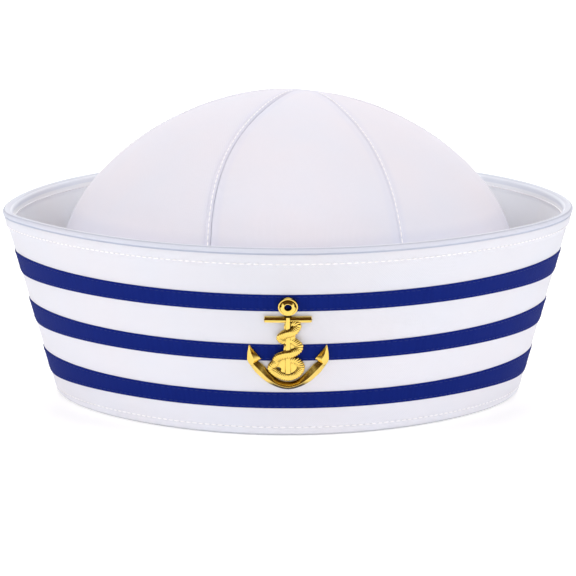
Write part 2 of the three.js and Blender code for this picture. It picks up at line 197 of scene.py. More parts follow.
def twill(name, light, shade, painted_shading):
    finish, tree, shader = new_finish(
        name, Roughness=0.9, Specular_IOR_Level=0.18, Sheen_Weight=0.08, Sheen_Roughness=0.5
    )
    cloth = uv_layer(tree, "cloth")
    sideways, along = parts(tree, cloth)[0:2]
    ribs = ripple(tree, sums(tree, "ADD", sideways, along), TWILL_PITCH * math.sqrt(2))
    crossing = [ripple(tree, coordinate, THREAD_PITCH) for coordinate in (sideways, along)]
    weave = sums(tree, "MULTIPLY_ADD", sums(tree, "MULTIPLY", *crossing), THREADS_SHOW, ribs)
    height = sums(tree, "MULTIPLY_ADD", clouded(tree, cloth, FUZZ_SCALE), FUZZ_SHOWS, weave)
    add_bump(tree, shader, height, strength=0.35, distance=0.06)
    place = object_place(tree)
    worn = ranged(tree, clouded(tree, place, CLOUD_SCALE, detail=3, roughness=0.55), (0.35, 0.65))
    colour = mixed(tree, worn, shade, light)
    # Painted shade: the weave's low places are painted a little darker than its high places.
    valley_shade = sums(tree, "MULTIPLY_ADD", weave, VALLEY_SHADE_STEP, VALLEY_SHADE_BASE)
    colour = mixed(tree, 1.0, colour, valley_shade, blend="MULTIPLY")
    # Each piece's painted shade and painted light are multiplied into the colour.
    for factor, tint in painted_shading(tree, place, along):
        colour = mixed(tree, factor, colour, tint, blend="MULTIPLY")
    tree.links.new(colour, shader.inputs["Base Color"])
    return finish


print("twill ribs every", TWILL_PITCH, "mm")

# %% [markdown]
# Shade and light are painted into the cloth's colour here, on top of what the lamps give. Painted shade
# lies beside the crown's seams, in the gutter between crown and brim, in the crease under the rim's bead
# and along the foot of the bottom fold. The upper wall and the bead are painted greyer as painted shade,
# most on the rim's top edge, and the inside is painted whiter as painted light. INSIDE_STARTS is a
# distance along the section in metres.

# %% Painted shade and light on the cloth
BELOW_ALL = -1
ABOVE_ALL = 90
GUTTER_TOP = 72.5
BEAD_CREASE = 75.25
RIM_EDGE = 77.35
UPPER_WALL = 60
INSIDE_STARTS = 0.0815


# Painted shade: the crown is darkened below the gutter's top and in narrow bands beside each seam.
def seam_painted_shade(tree, place, along):
    height = parts(tree, place)[2]
    yield band(tree, height, BELOW_ALL, GUTTER_TOP, soft=5), (0.91, 0.92, 0.945)
    for side in parts(tree, uv_layer(tree, "seam"))[0:2]:
        yield band(tree, side, BELOW_ALL, 0.1, soft=0.3), (0.95, 0.955, 0.97)
        yield band(tree, side, 0.3, 2.4, soft=2.2), (0.97, 0.98, 1.0)


# Painted shade in the crease under the bead, on the bead, on the rim's top edge, on the upper wall outside
# and at the fold's foot; painted light over the whole inside.
def rim_painted_shade_and_light(tree, place, along):
    height = parts(tree, place)[2]
    inside = sums(tree, "GREATER_THAN", along, INSIDE_STARTS)
    outside = sums(tree, "SUBTRACT", 1.0, inside)
    crease = band(tree, height, BEAD_CREASE - 0.15, BEAD_CREASE + 0.15, soft=0.35)
    yield sums(tree, "MULTIPLY", crease, outside), (0.78, 0.81, 0.87)
    yield band(tree, height, BEAD_CREASE, ABOVE_ALL, soft=0.5), (0.875, 0.895, 0.94)
    yield band(tree, height, RIM_EDGE, ABOVE_ALL, soft=0.3), (0.80, 0.80, 0.83)
    upper = band(tree, height, UPPER_WALL, ABOVE_ALL, soft=45)
    yield sums(tree, "MULTIPLY", upper, outside), (0.93, 0.94, 0.945)
    yield band(tree, height, BELOW_ALL, 0.5, soft=0.7), (0.72, 0.73, 0.72)
    yield inside, (1.28, 1.29, 1.215)


crown_twill = twill("crown_twill", (0.75, 0.73, 0.80), (0.725, 0.73, 0.815), seam_painted_shade)
brim_twill = twill("brim_twill", (0.76, 0.755, 0.815), (0.74, 0.755, 0.83), rim_painted_shade_and_light)
print("finishes:", crown_twill.name, "and", brim_twill.name)

# %% [markdown]
# Sewing thread is two or three plies twisted together. Seen close, each stitch is a short smooth bar with
# slanted plies, so its bump is a fine wave on Object coordinates. It shines a little more than the cloth.

# %% Sewing thread
def thread(name, colour, shade):
    finish, tree, shader = new_finish(name, Roughness=0.7)
    inputs = {"Vector": object_place(tree), "Scale": 700, "Distortion": 1.5}
    plies = add_node(tree, "ShaderNodeTexWave", inputs, bands_direction="DIAGONAL").outputs[1]
    tree.links.new(mixed(tree, plies, shade, colour), shader.inputs["Base Color"])
    add_bump(tree, shader, plies, strength=0.3, distance=0.04)
    return finish


white_thread = thread("white_thread", colour=(0.97, 0.96, 0.98), shade=(0.90, 0.89, 0.93))
navy_thread = thread("navy_thread", colour=(0.005, 0.017, 0.185), shade=(0.003, 0.012, 0.15))
print("threads:", white_thread.name, navy_thread.name)

# %% [markdown]
# The stripes are a flat woven tape. Its weft runs across it and shows as close upright ribs, which follow
# the tape's own UV map. Faint streaks beside them vary the blue.

# %% Navy tape
TAPE_RIB_PITCH = 0.55
NAVY_DARK = (0.0023, 0.0108, 0.138)
NAVY_LIGHT = (0.0048, 0.0168, 0.178)
STREAK_SCALES = (900, 60, 1)


def woven_tape():
    finish, tree, shader = new_finish("navy_tape", Roughness=0.75, Specular_IOR_Level=0.06)
    cloth = uv_layer(tree, "cloth")
    along, across = parts(tree, cloth)[0:2]
    ribs = ripple(tree, along, TAPE_RIB_PITCH)
    weave = sums(tree, "MULTIPLY_ADD", ripple(tree, across, THREAD_PITCH), 0.35, ribs)
    add_bump(tree, shader, weave, strength=0.4, distance=0.07)
    stretched = add_node(tree, "ShaderNodeMapping", {"Vector": cloth, "Scale": STREAK_SCALES}).outputs[0]
    # Real streaks come from the noise, with painted shade added: the ribs' low places are painted a little
    # darker.
    streaks_and_rib_shade = sums(tree, "MULTIPLY_ADD", ribs, 0.18, clouded(tree, stretched, 1))
    tree.links.new(mixed(tree, streaks_and_rib_shade, NAVY_DARK, NAVY_LIGHT), shader.inputs["Base Color"])
    return finish


navy_tape = woven_tape()
print("tape ribs every", TAPE_RIB_PITCH, "mm")

# %% [markdown]
# The badge is cast and gilt. Gold gets its look from what it mirrors, so the finish is plain metal, with
# the faint orange-peel of a polished casting and a roughness that varies a little. Where the relief is deep,
# painted shade darkens the gold: the shader asks how far each point is shut in by its neighbours.

# %% Gilt
GOLD = (0.93, 0.67, 0.16)
SHADED_GOLD = (0.09, 0.038, 0.008)
SHUT_IN_REACH = 3


def gilding():
    finish, tree, shader = new_finish("gilt", Metallic=1.0)
    peel = clouded(tree, object_place(tree), 900)
    tree.links.new(ranged(tree, peel, (0.3, 0.7), (0.13, 0.22)), shader.inputs["Roughness"])
    add_bump(tree, shader, peel, strength=0.12, distance=0.06)
    # Painted shade: the more a point is shut in by the relief, the darker its gold is painted.
    reach = {"Distance": SHUT_IN_REACH * MM}
    shut_in = add_node(tree, "ShaderNodeAmbientOcclusion", reach, samples=8, only_local=True)
    unshaded_share = ranged(tree, shut_in.outputs["AO"], (0.45, 0.85))
    tree.links.new(mixed(tree, unshaded_share, SHADED_GOLD, GOLD), shader.inputs["Base Color"])
    return finish


gilt = gilding()
print("gilt ready")

# %% [markdown]
# The cap's plan is an oval that is drawn in a little between its four ends, and the brim flares from the
# fold at the bottom to the rim. Brim, tapes, badge and the crown's foot are laid on that wall, so one
# function gives a point of it: an angle round the cap, a distance out from the cloth's face and a height.
# Stiffened cloth is never quite true, so the wall wanders by a fraction of a millimetre. A brim that was
# folded flat keeps a soft corner at one side, a little in front of the middle and most at the rim. It fades
# quickly towards the front and slowly towards the back. The other side is nearly round.

# %% The brim's wall
BASE_HALF_WIDTH = 94.4
BASE_HALF_DEPTH = 102
FLARE_SIDE = 21.6
FLARE_FRONT = 28
BRIM_HEIGHT = 77.7
PLAN_PINCH = 0.03
BRIM_WALL = 3
WANDER = 0.35
WANDER_ROUND = 1.6
WANDER_UP = 70
WANDER_FULL_AT = 12
CORNER_LOW = 2
CORNER_HIGH = 18
CORNER_TIGHT = 20
CORNER_SLACK = 8
CORNER_DRAW_IN = 0.07
ROUND_SIDE = 0.45


def plan(angle, half_width, half_depth):
    pinch = 1 - PLAN_PINCH * math.sin(2 * angle) ** 2
    return half_width * pinch * math.cos(angle), half_depth * pinch * math.sin(angle)


def wander(angle, height):
    place = Vector((WANDER_ROUND * math.cos(angle), WANDER_ROUND * math.sin(angle), height / WANDER_UP))
    return WANDER * noise.noise(place) * min(1, max(0, height) / WANDER_FULL_AT)


def corner_forward(angle, share):
    size = CORNER_LOW + (CORNER_HIGH - CORNER_LOW) * share**4
    if math.cos(angle) > 0:
        return ROUND_SIDE * size * math.cos(angle) ** CORNER_SLACK
    fading = CORNER_TIGHT if math.sin(angle) < 0 else CORNER_SLACK
    return size * abs(math.cos(angle)) ** fading


def on_brim(angle, offset, height):
    share = max(0, height) / BRIM_HEIGHT
    out = offset + wander(angle, height)
    half_width = BASE_HALF_WIDTH + FLARE_SIDE * share + out
    x, y = plan(angle, half_width, BASE_HALF_DEPTH + FLARE_FRONT * share + out)
    forward = corner_forward(angle, share)
    return Vector((x - math.copysign(CORNER_DRAW_IN * forward, x), y - forward, height)) * MM


laid_rim = on_brim(0, 0, BRIM_HEIGHT)
solid_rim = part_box("brim")[1]
print("rim half width", round(laid_rim.x / MM, 1), "mm, in the solid", round(solid_rim.x / MM, 1))

# %% [markdown]
# The brim and the tapes are rings of one section each. Spinning a section makes a round ring, which is
# then laid on the oval wall point by point. It is spun at a radius of one metre, so the distance from that
# radius tells how far a point stands out from the cloth. A layer holds the distance along the section,
# which becomes the UV map, in metres, for the weave.

# %% Rings laid on the wall
HUB = 1.0
CLOTH_RADIUS = 0.11


def arc(offset, height, radius, first, last, steps, flattened=1):
    points = []
    for step in range(steps + 1):
        turn = math.radians(first + (last - first) * step / steps)
        points.append((offset + radius * math.cos(turn), height + flattened * radius * math.sin(turn)))
    return points


def lengths_along(points):
    lengths = [0]
    for before, point in zip(points, points[1:]):
        lengths.append(lengths[-1] + (point - before).length)
    return lengths


def as_object(name, source):
    mesh = bpy.data.meshes.new(name)
    source.to_mesh(mesh)
    source.free()
    made = bpy.data.objects.new(name, mesh)
    bpy.context.scene.collection.objects.link(made)
    return made


def finish_piece(name, source, finish, nodes):
    piece = as_object(name, source)
    piece.data.materials.append(finish)
    for polygon in piece.data.polygons:
        polygon.use_smooth = True
    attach(piece, "root")
    if nodes:
        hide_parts(*nodes)
    print(name, "has", len(piece.data.polygons), "faces")
    return piece


def spin_round(made, points, edges, steps):
    turn = {"cent": (0, 0, 0), "axis": (0, 0, 1), "angle": 2 * math.pi}
    bmesh.ops.spin(made, geom=points + edges, steps=steps, use_merge=True, **turn)


def spun_ring(section, steps, laid=on_brim):
    ring = bmesh.new()
    along = ring.verts.layers.float.new("along")
    points = [ring.verts.new((HUB + offset * MM, 0, height * MM)) for offset, height in section]
    for point, length in zip(points, lengths_along([point.co for point in points])):
        point[along] = length
    edges = [ring.edges.new(pair) for pair in zip(points, points[1:] + points[:1])]
    spin_round(ring, points, edges, steps)
    cloth = ring.loops.layers.uv.new("cloth")
    for face in ring.faces:
        angles = [math.atan2(corner.vert.co.y, corner.vert.co.x) for corner in face.loops]
        wraps = max(angles) - min(angles) > math.pi
        for corner, angle in zip(face.loops, angles):
            turned = angle + 2 * math.pi if wraps and angle < 0 else angle
            corner[cloth].uv = (turned * CLOTH_RADIUS, corner.vert[along])
    for vert in ring.verts:
        angle = math.atan2(vert.co.y, vert.co.x)
        offset = math.hypot(vert.co.x, vert.co.y) - HUB
        vert.co = laid(angle, offset / MM, vert.co.z / MM)
    bmesh.ops.recalc_face_normals(ring, faces=ring.faces)
    return ring


print("rings are spun round a hub of", HUB, "m")

# %% [markdown]
# The brim's section goes up the outside, over the rim and down the inside. At the bottom the cloth is
# pressed into a narrow rounded fold with a groove sewn over it. The rim is rolled into a bead, and the hem
# under it is a second thickness that ends in a low step, lower still inside. The lip covers the crown's
# edge. Steps and grooves are part of the section, because they catch light that a bump would lose at the
# outline.

# %% Brim
RING_STEPS = 288
FOLD_RADIUS = 2.8
FOLD_GROOVE_HEIGHT = 3.7
FOLD_GROOVE_DEPTH = 0.28
FOLD_GROOVE_HALF = 0.5
BEAD_RADIUS = 1.9
BEAD_FLATTENED = 0.8
BEAD_GROOVE_DOWN = 2.45
BEAD_GROOVE_DEPTH = 0.5
BEAD_GROOVE_HALF = 0.55
HEM_OUTSIDE = 7.4
HEM_INSIDE = 5.2
HEM_THICKNESS = 0.35
INSIDE_HEM_THICKNESS = 0.12
WALL_ROWS = 14
FIT = 0.35
SLOT_FLOOR = 2.6
LIP_WALL = 1.2
LIP_HEIGHT = 8.5
LIP_RADIUS = 0.9
FLAT_STARTS = 2.5
CROWN_WALL = 1.5

crown_offset = -(BRIM_WALL + FIT)
lip_outside = crown_offset - CROWN_WALL - FIT
lip_inside = lip_outside - LIP_WALL


def groove(height, depth, half_width, base):
    shares = (-1, -0.6, -0.25, 0, 0.25, 0.6, 1)
    deep = (0, 0.3, 0.85, 1, 0.85, 0.3, 0)
    return [(base - depth * down, height + half_width * share) for share, down in zip(shares, deep)]


def hem_step(top, thickness):
    return [(0, top - 0.5), (0.3 * thickness, top - 0.3), (thickness, top)]


def wall(offset, first, last):
    return [(offset, first + (last - first) * row / WALL_ROWS) for row in range(WALL_ROWS + 1)]


def brim_section():
    inside_hem = hem_step(BRIM_HEIGHT - HEM_INSIDE, INSIDE_HEM_THICKNESS)
    bead_middle = BRIM_HEIGHT - BEAD_FLATTENED * BEAD_RADIUS
    lip_round = LIP_WALL / 2
    return [
        (lip_inside + FLAT_STARTS, 0),
        *arc(-FOLD_RADIUS, FOLD_RADIUS, FOLD_RADIUS, -90, 0, 7),
        *groove(FOLD_GROOVE_HEIGHT, FOLD_GROOVE_DEPTH, FOLD_GROOVE_HALF, 0),
        *wall(0, FOLD_GROOVE_HEIGHT + 1, BRIM_HEIGHT - HEM_OUTSIDE - 1),
        *hem_step(BRIM_HEIGHT - HEM_OUTSIDE, HEM_THICKNESS),
        *groove(BRIM_HEIGHT - BEAD_GROOVE_DOWN, BEAD_GROOVE_DEPTH, BEAD_GROOVE_HALF, HEM_THICKNESS),
        *arc(-BRIM_WALL / 2, bead_middle, BEAD_RADIUS, -12, 192, 12, BEAD_FLATTENED),
        *[(-BRIM_WALL - offset, height) for offset, height in reversed(inside_hem)],
        *wall(-BRIM_WALL, BRIM_HEIGHT - HEM_INSIDE - 1, LIP_HEIGHT),
        (-BRIM_WALL, SLOT_FLOOR),
        (lip_outside, SLOT_FLOOR),
        *arc(lip_outside - lip_round, LIP_HEIGHT - lip_round, lip_round, 0, 180, 4),
        *arc(lip_inside + LIP_RADIUS, LIP_RADIUS, LIP_RADIUS, 180, 270, 4),
    ]


finish_piece("brim_cloth", spun_ring(brim_section(), RING_STEPS), brim_twill, ["brim"])

# %% [markdown]
# Each tape is a thin band with rounded edges that lies on the wall. Its height comes from the solid it
# stands for, and it is a little wider, because the solid is sunk into a seat. Where a tape bends round the
# sides it was pulled less tight, so there it spreads by a millimetre or two, most just in front of the
# sides.

# %% Tapes
TAPE_PROUD = 0.34
TAPE_UNDER = -0.15
TAPE_OVERLAP = 0.12
TAPE_ROWS = 6
SPREAD_REACH = 0.22
SPREAD_ROUNDED = 0.05
SPREAD_UP = {"tape_low": 1.2, "tape_middle": 1.7, "tape_high": 1.7}
SPREAD_DOWN = {"tape_low": 1.9, "tape_middle": 1.0, "tape_high": 0.8}


def tape_section(low, high):
    radius = TAPE_PROUD / 2
    lower = arc(radius, low + radius, radius, -90, -10, 4)
    upper = arc(radius, high - radius, radius, 10, 90, 4)
    rise = high - low - 2 * radius
    face = [(TAPE_PROUD, low + radius + rise * row / TAPE_ROWS) for row in range(1, TAPE_ROWS)]
    return [(TAPE_UNDER, low), *lower, *face, *upper, (TAPE_UNDER, high)]


def on_tape(node):
    """Lays a point on the wall, and moves it up or down where the tape spreads, most at the tape's edges."""
    low, high = tape_heights[node]

    def laid(angle, offset, height):
        ahead = max(0, -math.sin(angle))
        beside = math.hypot(ahead, SPREAD_ROUNDED) / SPREAD_REACH
        spread = beside * math.exp(1 - beside) * abs(math.cos(angle))
        share = (height - low) / (high - low)
        moved = spread * (SPREAD_UP[node] * share - SPREAD_DOWN[node] * (1 - share))
        return on_brim(angle, offset, height + moved)

    return laid


tape_heights = {}
for node in ("tape_low", "tape_middle", "tape_high"):
    low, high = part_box(node)
    tape_heights[node] = (low.z / MM - TAPE_OVERLAP, high.z / MM + TAPE_OVERLAP)
    ring = spun_ring(tape_section(*tape_heights[node]), RING_STEPS, on_tape(node))
    finish_piece(node + "_woven", ring, navy_tape, [node])

# %% [markdown]
# The crown is six gores. Seen from above each seam runs straight from the tip towards one angle, then
# bends over the shoulder and goes down the wall at another. A gore is made from a flat grid, as a pattern
# piece is cut flat and then sewn: every point is laid on the dome between its two seams. The columns are
# crowded at the seams, so that the crease and the welt beside it are sharp and have the same width all the
# way.

# %% The crown's shape
CROWN_TOP = 122.8
CROWN_SHOULDER = 52
CROWN_DRAW_IN = 0.8
DOME_POWER = 1.75
DOME_ROUNDNESS = 1.9
TIP = Vector((7.6, 8))
GORE_SWELL = 1.1
BEND_STARTS = 0.5

GORES = table(
    "name top foot sharp welts",
    ("gore_front_left", -99, -96, 1, (False, True)),
    ("gore_front", -26, -19.3, 1, (False, False)),
    ("gore_front_right", 33, 29.6, 0.35, (True, False)),
    ("gore_back_right", 98, 96, 1, (True, True)),
    ("gore_back", 150, 150, 1, (False, False)),
    ("gore_back_left", 207, 207, 1, (True, True)),
)
round_again = {**GORES[0], "top": GORES[0]["top"] + 360, "foot": GORES[0]["foot"] + 360}
gore_pairs = list(zip(GORES, [*GORES[1:], round_again]))

lip_share = LIP_HEIGHT / BRIM_HEIGHT
crown_half_width = BASE_HALF_WIDTH + FLARE_SIDE * lip_share + crown_offset - CROWN_DRAW_IN
crown_half_depth = BASE_HALF_DEPTH + FLARE_FRONT * lip_share + crown_offset - CROWN_DRAW_IN
heart = Vector((0, 0, CROWN_SHOULDER)) * MM


def seam_angle(seam, share):
    bent = min(1, max(0, (share - BEND_STARTS) / (1 - BEND_STARTS)) ** 2)
    return math.radians(seam["top"] + (seam["foot"] - seam["top"]) * bent - 90)


def dome_point(angle, share):
    x, y = TIP.lerp(Vector(plan(angle, crown_half_width, crown_half_depth)), share)
    rim = plan(math.atan2(y / crown_half_depth, x / crown_half_width), crown_half_width, crown_half_depth)
    radius = min(1, math.hypot(x, y) / math.hypot(*rim))
    rise = (1 - radius**DOME_POWER) ** (1 / DOME_ROUNDNESS)
    return Vector((x, y, CROWN_SHOULDER + (CROWN_TOP - CROWN_SHOULDER) * rise)) * MM


def crown_point(angle_at, up):
    """The smooth crown: up is 0 at the edge in the slot, 1 at the shoulder and 2 at the tip."""
    if up >= 1:
        share = math.cos((up - 1) * math.pi / 2)
        return dome_point(angle_at(share), share), 1 - (1 - share) ** 2
    angle = angle_at(1)
    foot = on_brim(angle, crown_offset, LIP_HEIGHT)
    top = dome_point(angle, 1)
    edge_height = SLOT_FLOOR + FIT
    height = edge_height + (CROWN_SHOULDER - edge_height) * up
    if height < LIP_HEIGHT:
        return on_brim(angle, crown_offset, height), 0
    share = (height - LIP_HEIGHT) / (CROWN_SHOULDER - LIP_HEIGHT)
    return foot.lerp(top, share), share


print("crown half width", round(crown_half_width, 1), "mm, half depth", round(crown_half_depth, 1), "mm")

# %% [markdown]
# A seam of the crown is felled: the raw edges are folded to one side under the cloth and sewn down.
# Outside it shows as a dark crease, a narrow raised welt beside it and a fainter crease where the fold
# ends. The relief gives how far the cloth stands out at a distance from the seam, with a welt or without.
# The cloth also puckers along the stitches. One seam is pressed flatter than the others, so its "sharp" in
# the table is lower.

# %% The felled seams
CREASE_DEPTH = 0.3
CREASE_WIDTH = 0.36
SINK_DEPTH = 0.25
SINK_WIDTH = 1.6
WELT_HEIGHT = 0.4
WELT_WIDTH = 2.0
WELT_RISES = (0.25, 0.7)
WELT_FALLS_OVER = 0.4
SECOND_CREASE = 0.25
SECOND_CREASE_BEYOND = 0.15
SECOND_CREASE_WIDTH = 0.28
PUCKER_HEIGHT = 0.07
PUCKER_AT = 3
PUCKER_FADE = 2.5
PUCKER_PITCH = 5.5
PUCKER_RUN = 62
SLACK_HEIGHT = 0.35
SLACK_SIZE = 32
SLACK_FULL_AT = 6
SEAM_FADES = (3, 30)
NEAR_SEAM = [0, 0.12, 0.25, 0.4, 0.55, 0.75, 1, 1.35, 1.7, 1.95, 2.15, 2.35, 2.55, 2.9, 3.6, 5]
NEAR_SHARE = 0.42
MIDDLE_COLUMNS = 26
WALL_ROWS_UP = 14
DOME_ROWS_UP = 64


def smooth_step(value, first, last):
    share = min(1, max(0, (value - first) / (last - first)))
    return share * share * (3 - 2 * share)


def seam_relief(distance, welted):
    crease = -CREASE_DEPTH * math.exp(-((distance / CREASE_WIDTH) ** 2))
    if not welted:
        return crease - SINK_DEPTH * math.exp(-distance / SINK_WIDTH)
    welt = WELT_HEIGHT * smooth_step(distance, *WELT_RISES)
    welt *= 1 - smooth_step(distance, WELT_WIDTH - WELT_FALLS_OVER, WELT_WIDTH)
    beyond = (distance - WELT_WIDTH - SECOND_CREASE_BEYOND) / SECOND_CREASE_WIDTH
    return crease + welt - SECOND_CREASE * math.exp(-(beyond**2))


def gore_row(gore, after, up):
    """A row's middle, its width in millimetres and how much the columns beside its seams are squeezed."""
    left = crown_point(lambda share: seam_angle(gore, share), up)[0]
    right = crown_point(lambda share: seam_angle(after, share), up)[0]
    width = max((right - left).length / MM, 0.001)
    return (left + right) / 2, width, min(1, NEAR_SHARE * width / NEAR_SEAM[-1])


def gore_point(gore, after, across, up, width, squeeze):
    """A point of a gore's cloth at a share of the way across it, from its own seam to the one after."""
    def angle_at(share):
        return seam_angle(gore, share) + (seam_angle(after, share) - seam_angle(gore, share)) * across

    point, amount = crown_point(angle_at, up)
    out = (point - heart).normalized()
    if up < 1:
        out = Vector((out.x, out.y, 0)).normalized()
    on_right = across >= 0.5
    near = 1 - across if on_right else across
    sharp = after["sharp"] if on_right else gore["sharp"]
    distance = near * width / max(squeeze, 0.001)
    swell = amount * GORE_SWELL * math.sin(math.pi * min(1, max(0, across))) ** 0.8
    relief = sharp * squeeze * seam_relief(distance, gore["welts"][on_right])
    relief *= smooth_step(width, *SEAM_FADES)
    waves = math.sin(2 * math.pi * up * PUCKER_RUN / PUCKER_PITCH)
    pucker = PUCKER_HEIGHT * math.exp(-abs(distance - PUCKER_AT) / PUCKER_FADE) * waves
    slack = SLACK_HEIGHT * noise.noise(point / MM / SLACK_SIZE) * min(1, distance / SLACK_FULL_AT)
    return point + out * MM * (swell + relief + pucker * squeeze + slack * amount)


def beside_seam(gore, after, across_mm, on_right, up):
    """A point of a gore's cloth at a distance in from one of its seams."""
    _, width, squeeze = gore_row(gore, after, up)
    across = across_mm * squeeze / width
    return gore_point(gore, after, 1 - across if on_right else across, up, width, squeeze)


print("welt", WELT_WIDTH, "mm wide beside each seam")

# %% [markdown]
# Now each gore's grid is laid. The grid's own rows and columns give the place of each point, the points of
# the last row meet at the tip and are merged, and a Solidify modifier gives the cloth its thickness
# inwards.

# %% Gores
columns = 2 * len(NEAR_SEAM) + MIDDLE_COLUMNS - 1
rows = WALL_ROWS_UP + DOME_ROWS_UP
last_near = len(NEAR_SEAM) - 1
MERGE_TIP = 0.002


def grid_place(vert, columns, rows):
    """The column and the row of a vertex, in a flat grid that runs from -1 to 1 both ways."""
    return round((vert.co.x + 1) / 2 * columns), round((vert.co.y + 1) / 2 * rows)


def height_up(row):
    return row / WALL_ROWS_UP if row <= WALL_ROWS_UP else 1 + (row - WALL_ROWS_UP) / DOME_ROWS_UP


def share_across(column, width, squeeze):
    if column <= last_near:
        return NEAR_SEAM[column] * squeeze / width
    if columns - column <= last_near:
        return 1 - NEAR_SEAM[columns - column] * squeeze / width
    first = NEAR_SEAM[-1] * squeeze / width
    return first + (1 - 2 * first) * (column - last_near) / (columns - 2 * last_near)


def gore_cloth(gore, after):
    made = bmesh.new()
    bmesh.ops.create_grid(made, x_segments=columns, y_segments=rows, size=1)
    cloth = made.loops.layers.uv.new("cloth")
    seam = made.loops.layers.uv.new("seam")
    laid_rows = [gore_row(gore, after, height_up(row)) for row in range(rows + 1)]
    lengths = lengths_along([middle for middle, _, _ in laid_rows])
    cloth_places, seam_places = {}, {}
    for vert in made.verts:
        column, row = grid_place(vert, columns, rows)
        _, width, squeeze = laid_rows[row]
        across = share_across(column, width, squeeze)
        vert.co = gore_point(gore, after, across, height_up(row), width, squeeze)
        cloth_places[vert] = ((across - 0.5) * width * MM, lengths[row])
        seam_places[vert] = (across * width * MM, (1 - across) * width * MM)
    for face in made.faces:
        for corner in face.loops:
            corner[cloth].uv = cloth_places[corner.vert]
            corner[seam].uv = seam_places[corner.vert]
    bmesh.ops.remove_doubles(made, verts=made.verts, dist=MERGE_TIP * MM)
    bmesh.ops.recalc_face_normals(made, faces=made.faces)
    outward = sum(face.normal.dot(face.calc_center_median() - heart) for face in made.faces)
    if outward < 0:
        bmesh.ops.reverse_faces(made, faces=made.faces)
    return made


for gore, after in gore_pairs:
    name = gore["name"]
    piece = finish_piece(name + "_cloth", gore_cloth(gore, after), crown_twill, [name])
    thickness = piece.modifiers.new("thickness", "SOLIDIFY")
    thickness.thickness = CROWN_WALL * MM
    thickness.offset = -1

# %% [markdown]
# Topstitching is a row of short thread bars, each ending where the needle went down. A bar is a stretched
# sphere, and a walk along a path at an even pitch gives each one its place and direction. The rows are
# joined into one mesh, because thousands of objects would be slow to draw. A bmesh operator takes longer
# in a bigger mesh, so the bars are made twenty at a time and then poured into the row.

# %% Stitches
STITCH_LENGTH = 2.4
STITCH_PITCH = 2.75
THREAD_RADIUS = 0.26
THREAD_FLATTENED = 0.8
THREAD_PROUD = 0.35
BARS_AT_ONCE = 20
PATH_STEPS = 720
HEM_ROW_DOWN = 6.5
INSIDE_ROW_DOWN = 4.3
INSIDE_ROW_PROUD = 0.1
INSIDE_THREAD_RADIUS = 0.34
random.seed(4)


def walk(path, pitch):
    """Places at an even pitch along a path of points, each with the direction there and the way outward."""
    places, left = [], pitch / 2
    for (point, outward), (following, _) in zip(path, path[1:]):
        span = (following - point).length
        while span and left <= span:
            places.append((point.lerp(following, left / span), (following - point).normalized(), outward))
            left += pitch
        left -= span
    return places


def pour(small, whole):
    held = bpy.data.meshes.new("held")
    small.to_mesh(held)
    small.free()
    whole.from_mesh(held)
    bpy.data.meshes.remove(held)


def add_stitches(sewing, path, length=STITCH_LENGTH, pitch=STITCH_PITCH, radius=THREAD_RADIUS):
    places = walk(path, pitch * MM)
    for first in range(0, len(places), BARS_AT_ONCE):
        few = bmesh.new()
        for point, direction, outward in places[first:first + BARS_AT_ONCE]:
            side = outward.cross(direction).normalized()
            up = direction.cross(side)
            turn = Matrix((direction, side, up)).transposed().to_4x4()
            half = length * random.uniform(0.93, 1.05) / 2 * MM
            size = Matrix.Diagonal((half, radius * MM, radius * THREAD_FLATTENED * MM, 1))
            place = Matrix.Translation(point + up * radius * THREAD_PROUD * MM)
            bmesh.ops.create_uvsphere(few, u_segments=8, v_segments=5, radius=1, matrix=place @ turn @ size)
        pour(few, sewing)


def brim_path(offset, height, laid=on_brim):
    path = []
    for step in range(PATH_STEPS + 1):
        angle = 2 * math.pi * step / PATH_STEPS - math.pi / 2
        point = laid(angle, offset, height)
        out = (laid(angle, offset + 1, height) - point).normalized()
        path.append((point, out if offset > -1 else -out))
    return path


sewing = bmesh.new()
inside_offset = -BRIM_WALL - INSIDE_HEM_THICKNESS - INSIDE_ROW_PROUD
inside_row = brim_path(inside_offset, BRIM_HEIGHT - INSIDE_ROW_DOWN)
add_stitches(sewing, brim_path(HEM_THICKNESS, BRIM_HEIGHT - HEM_ROW_DOWN))
add_stitches(sewing, inside_row, radius=INSIDE_THREAD_RADIUS)
add_stitches(sewing, brim_path(-FOLD_GROOVE_DEPTH, FOLD_GROOVE_HEIGHT))
finish_piece("brim_topstitch", sewing, white_thread, [])

# %% [markdown]
# Each welt of the crown is sewn down by a row of finer stitches along its outer side.

# %% Stitches of the crown
WELT_ROW = 0.85
WELT_ROW_FROM = 0.18
WELT_ROW_TO = 1.93
WELT_ROW_STEPS = 160

rise = WELT_ROW_TO - WELT_ROW_FROM
ups = [WELT_ROW_FROM + rise * step / WELT_ROW_STEPS for step in range(WELT_ROW_STEPS + 1)]
sewing = bmesh.new()
for gore, after in gore_pairs:
    for on_right in (False, True):
        if not gore["welts"][on_right]:
            continue
        points = [beside_seam(gore, after, WELT_ROW, on_right, up) for up in ups]
        path = [(point, (point - heart).normalized()) for point in points]
        add_stitches(sewing, path, length=2.5, pitch=2.65, radius=0.24)
finish_piece("crown_topstitch", sewing, white_thread, [])

# %% [markdown]
# The tapes are sewn on along both edges with thread of their own colour, which shows only close to.

# %% Stitches of the tapes
TAPE_ROW_IN = 0.9
sewing = bmesh.new()
for node, (low, high) in tape_heights.items():
    for height in (low + TAPE_ROW_IN, high - TAPE_ROW_IN):
        path = brim_path(TAPE_PROUD, height, on_tape(node))
        add_stitches(sewing, path, length=2.0, pitch=2.6, radius=0.11)
finish_piece("tape_stitches", sewing, navy_thread, [])

# %% [markdown]
# The badge is worked out flat first, in millimetres: across from the middle of the front, up from its
# lowest point, and out from the cloth. Only at the end is each point laid on the brim, so the casting
# bends round the cap as the real one does. The face it lies on leans, so "out" is square to that face.

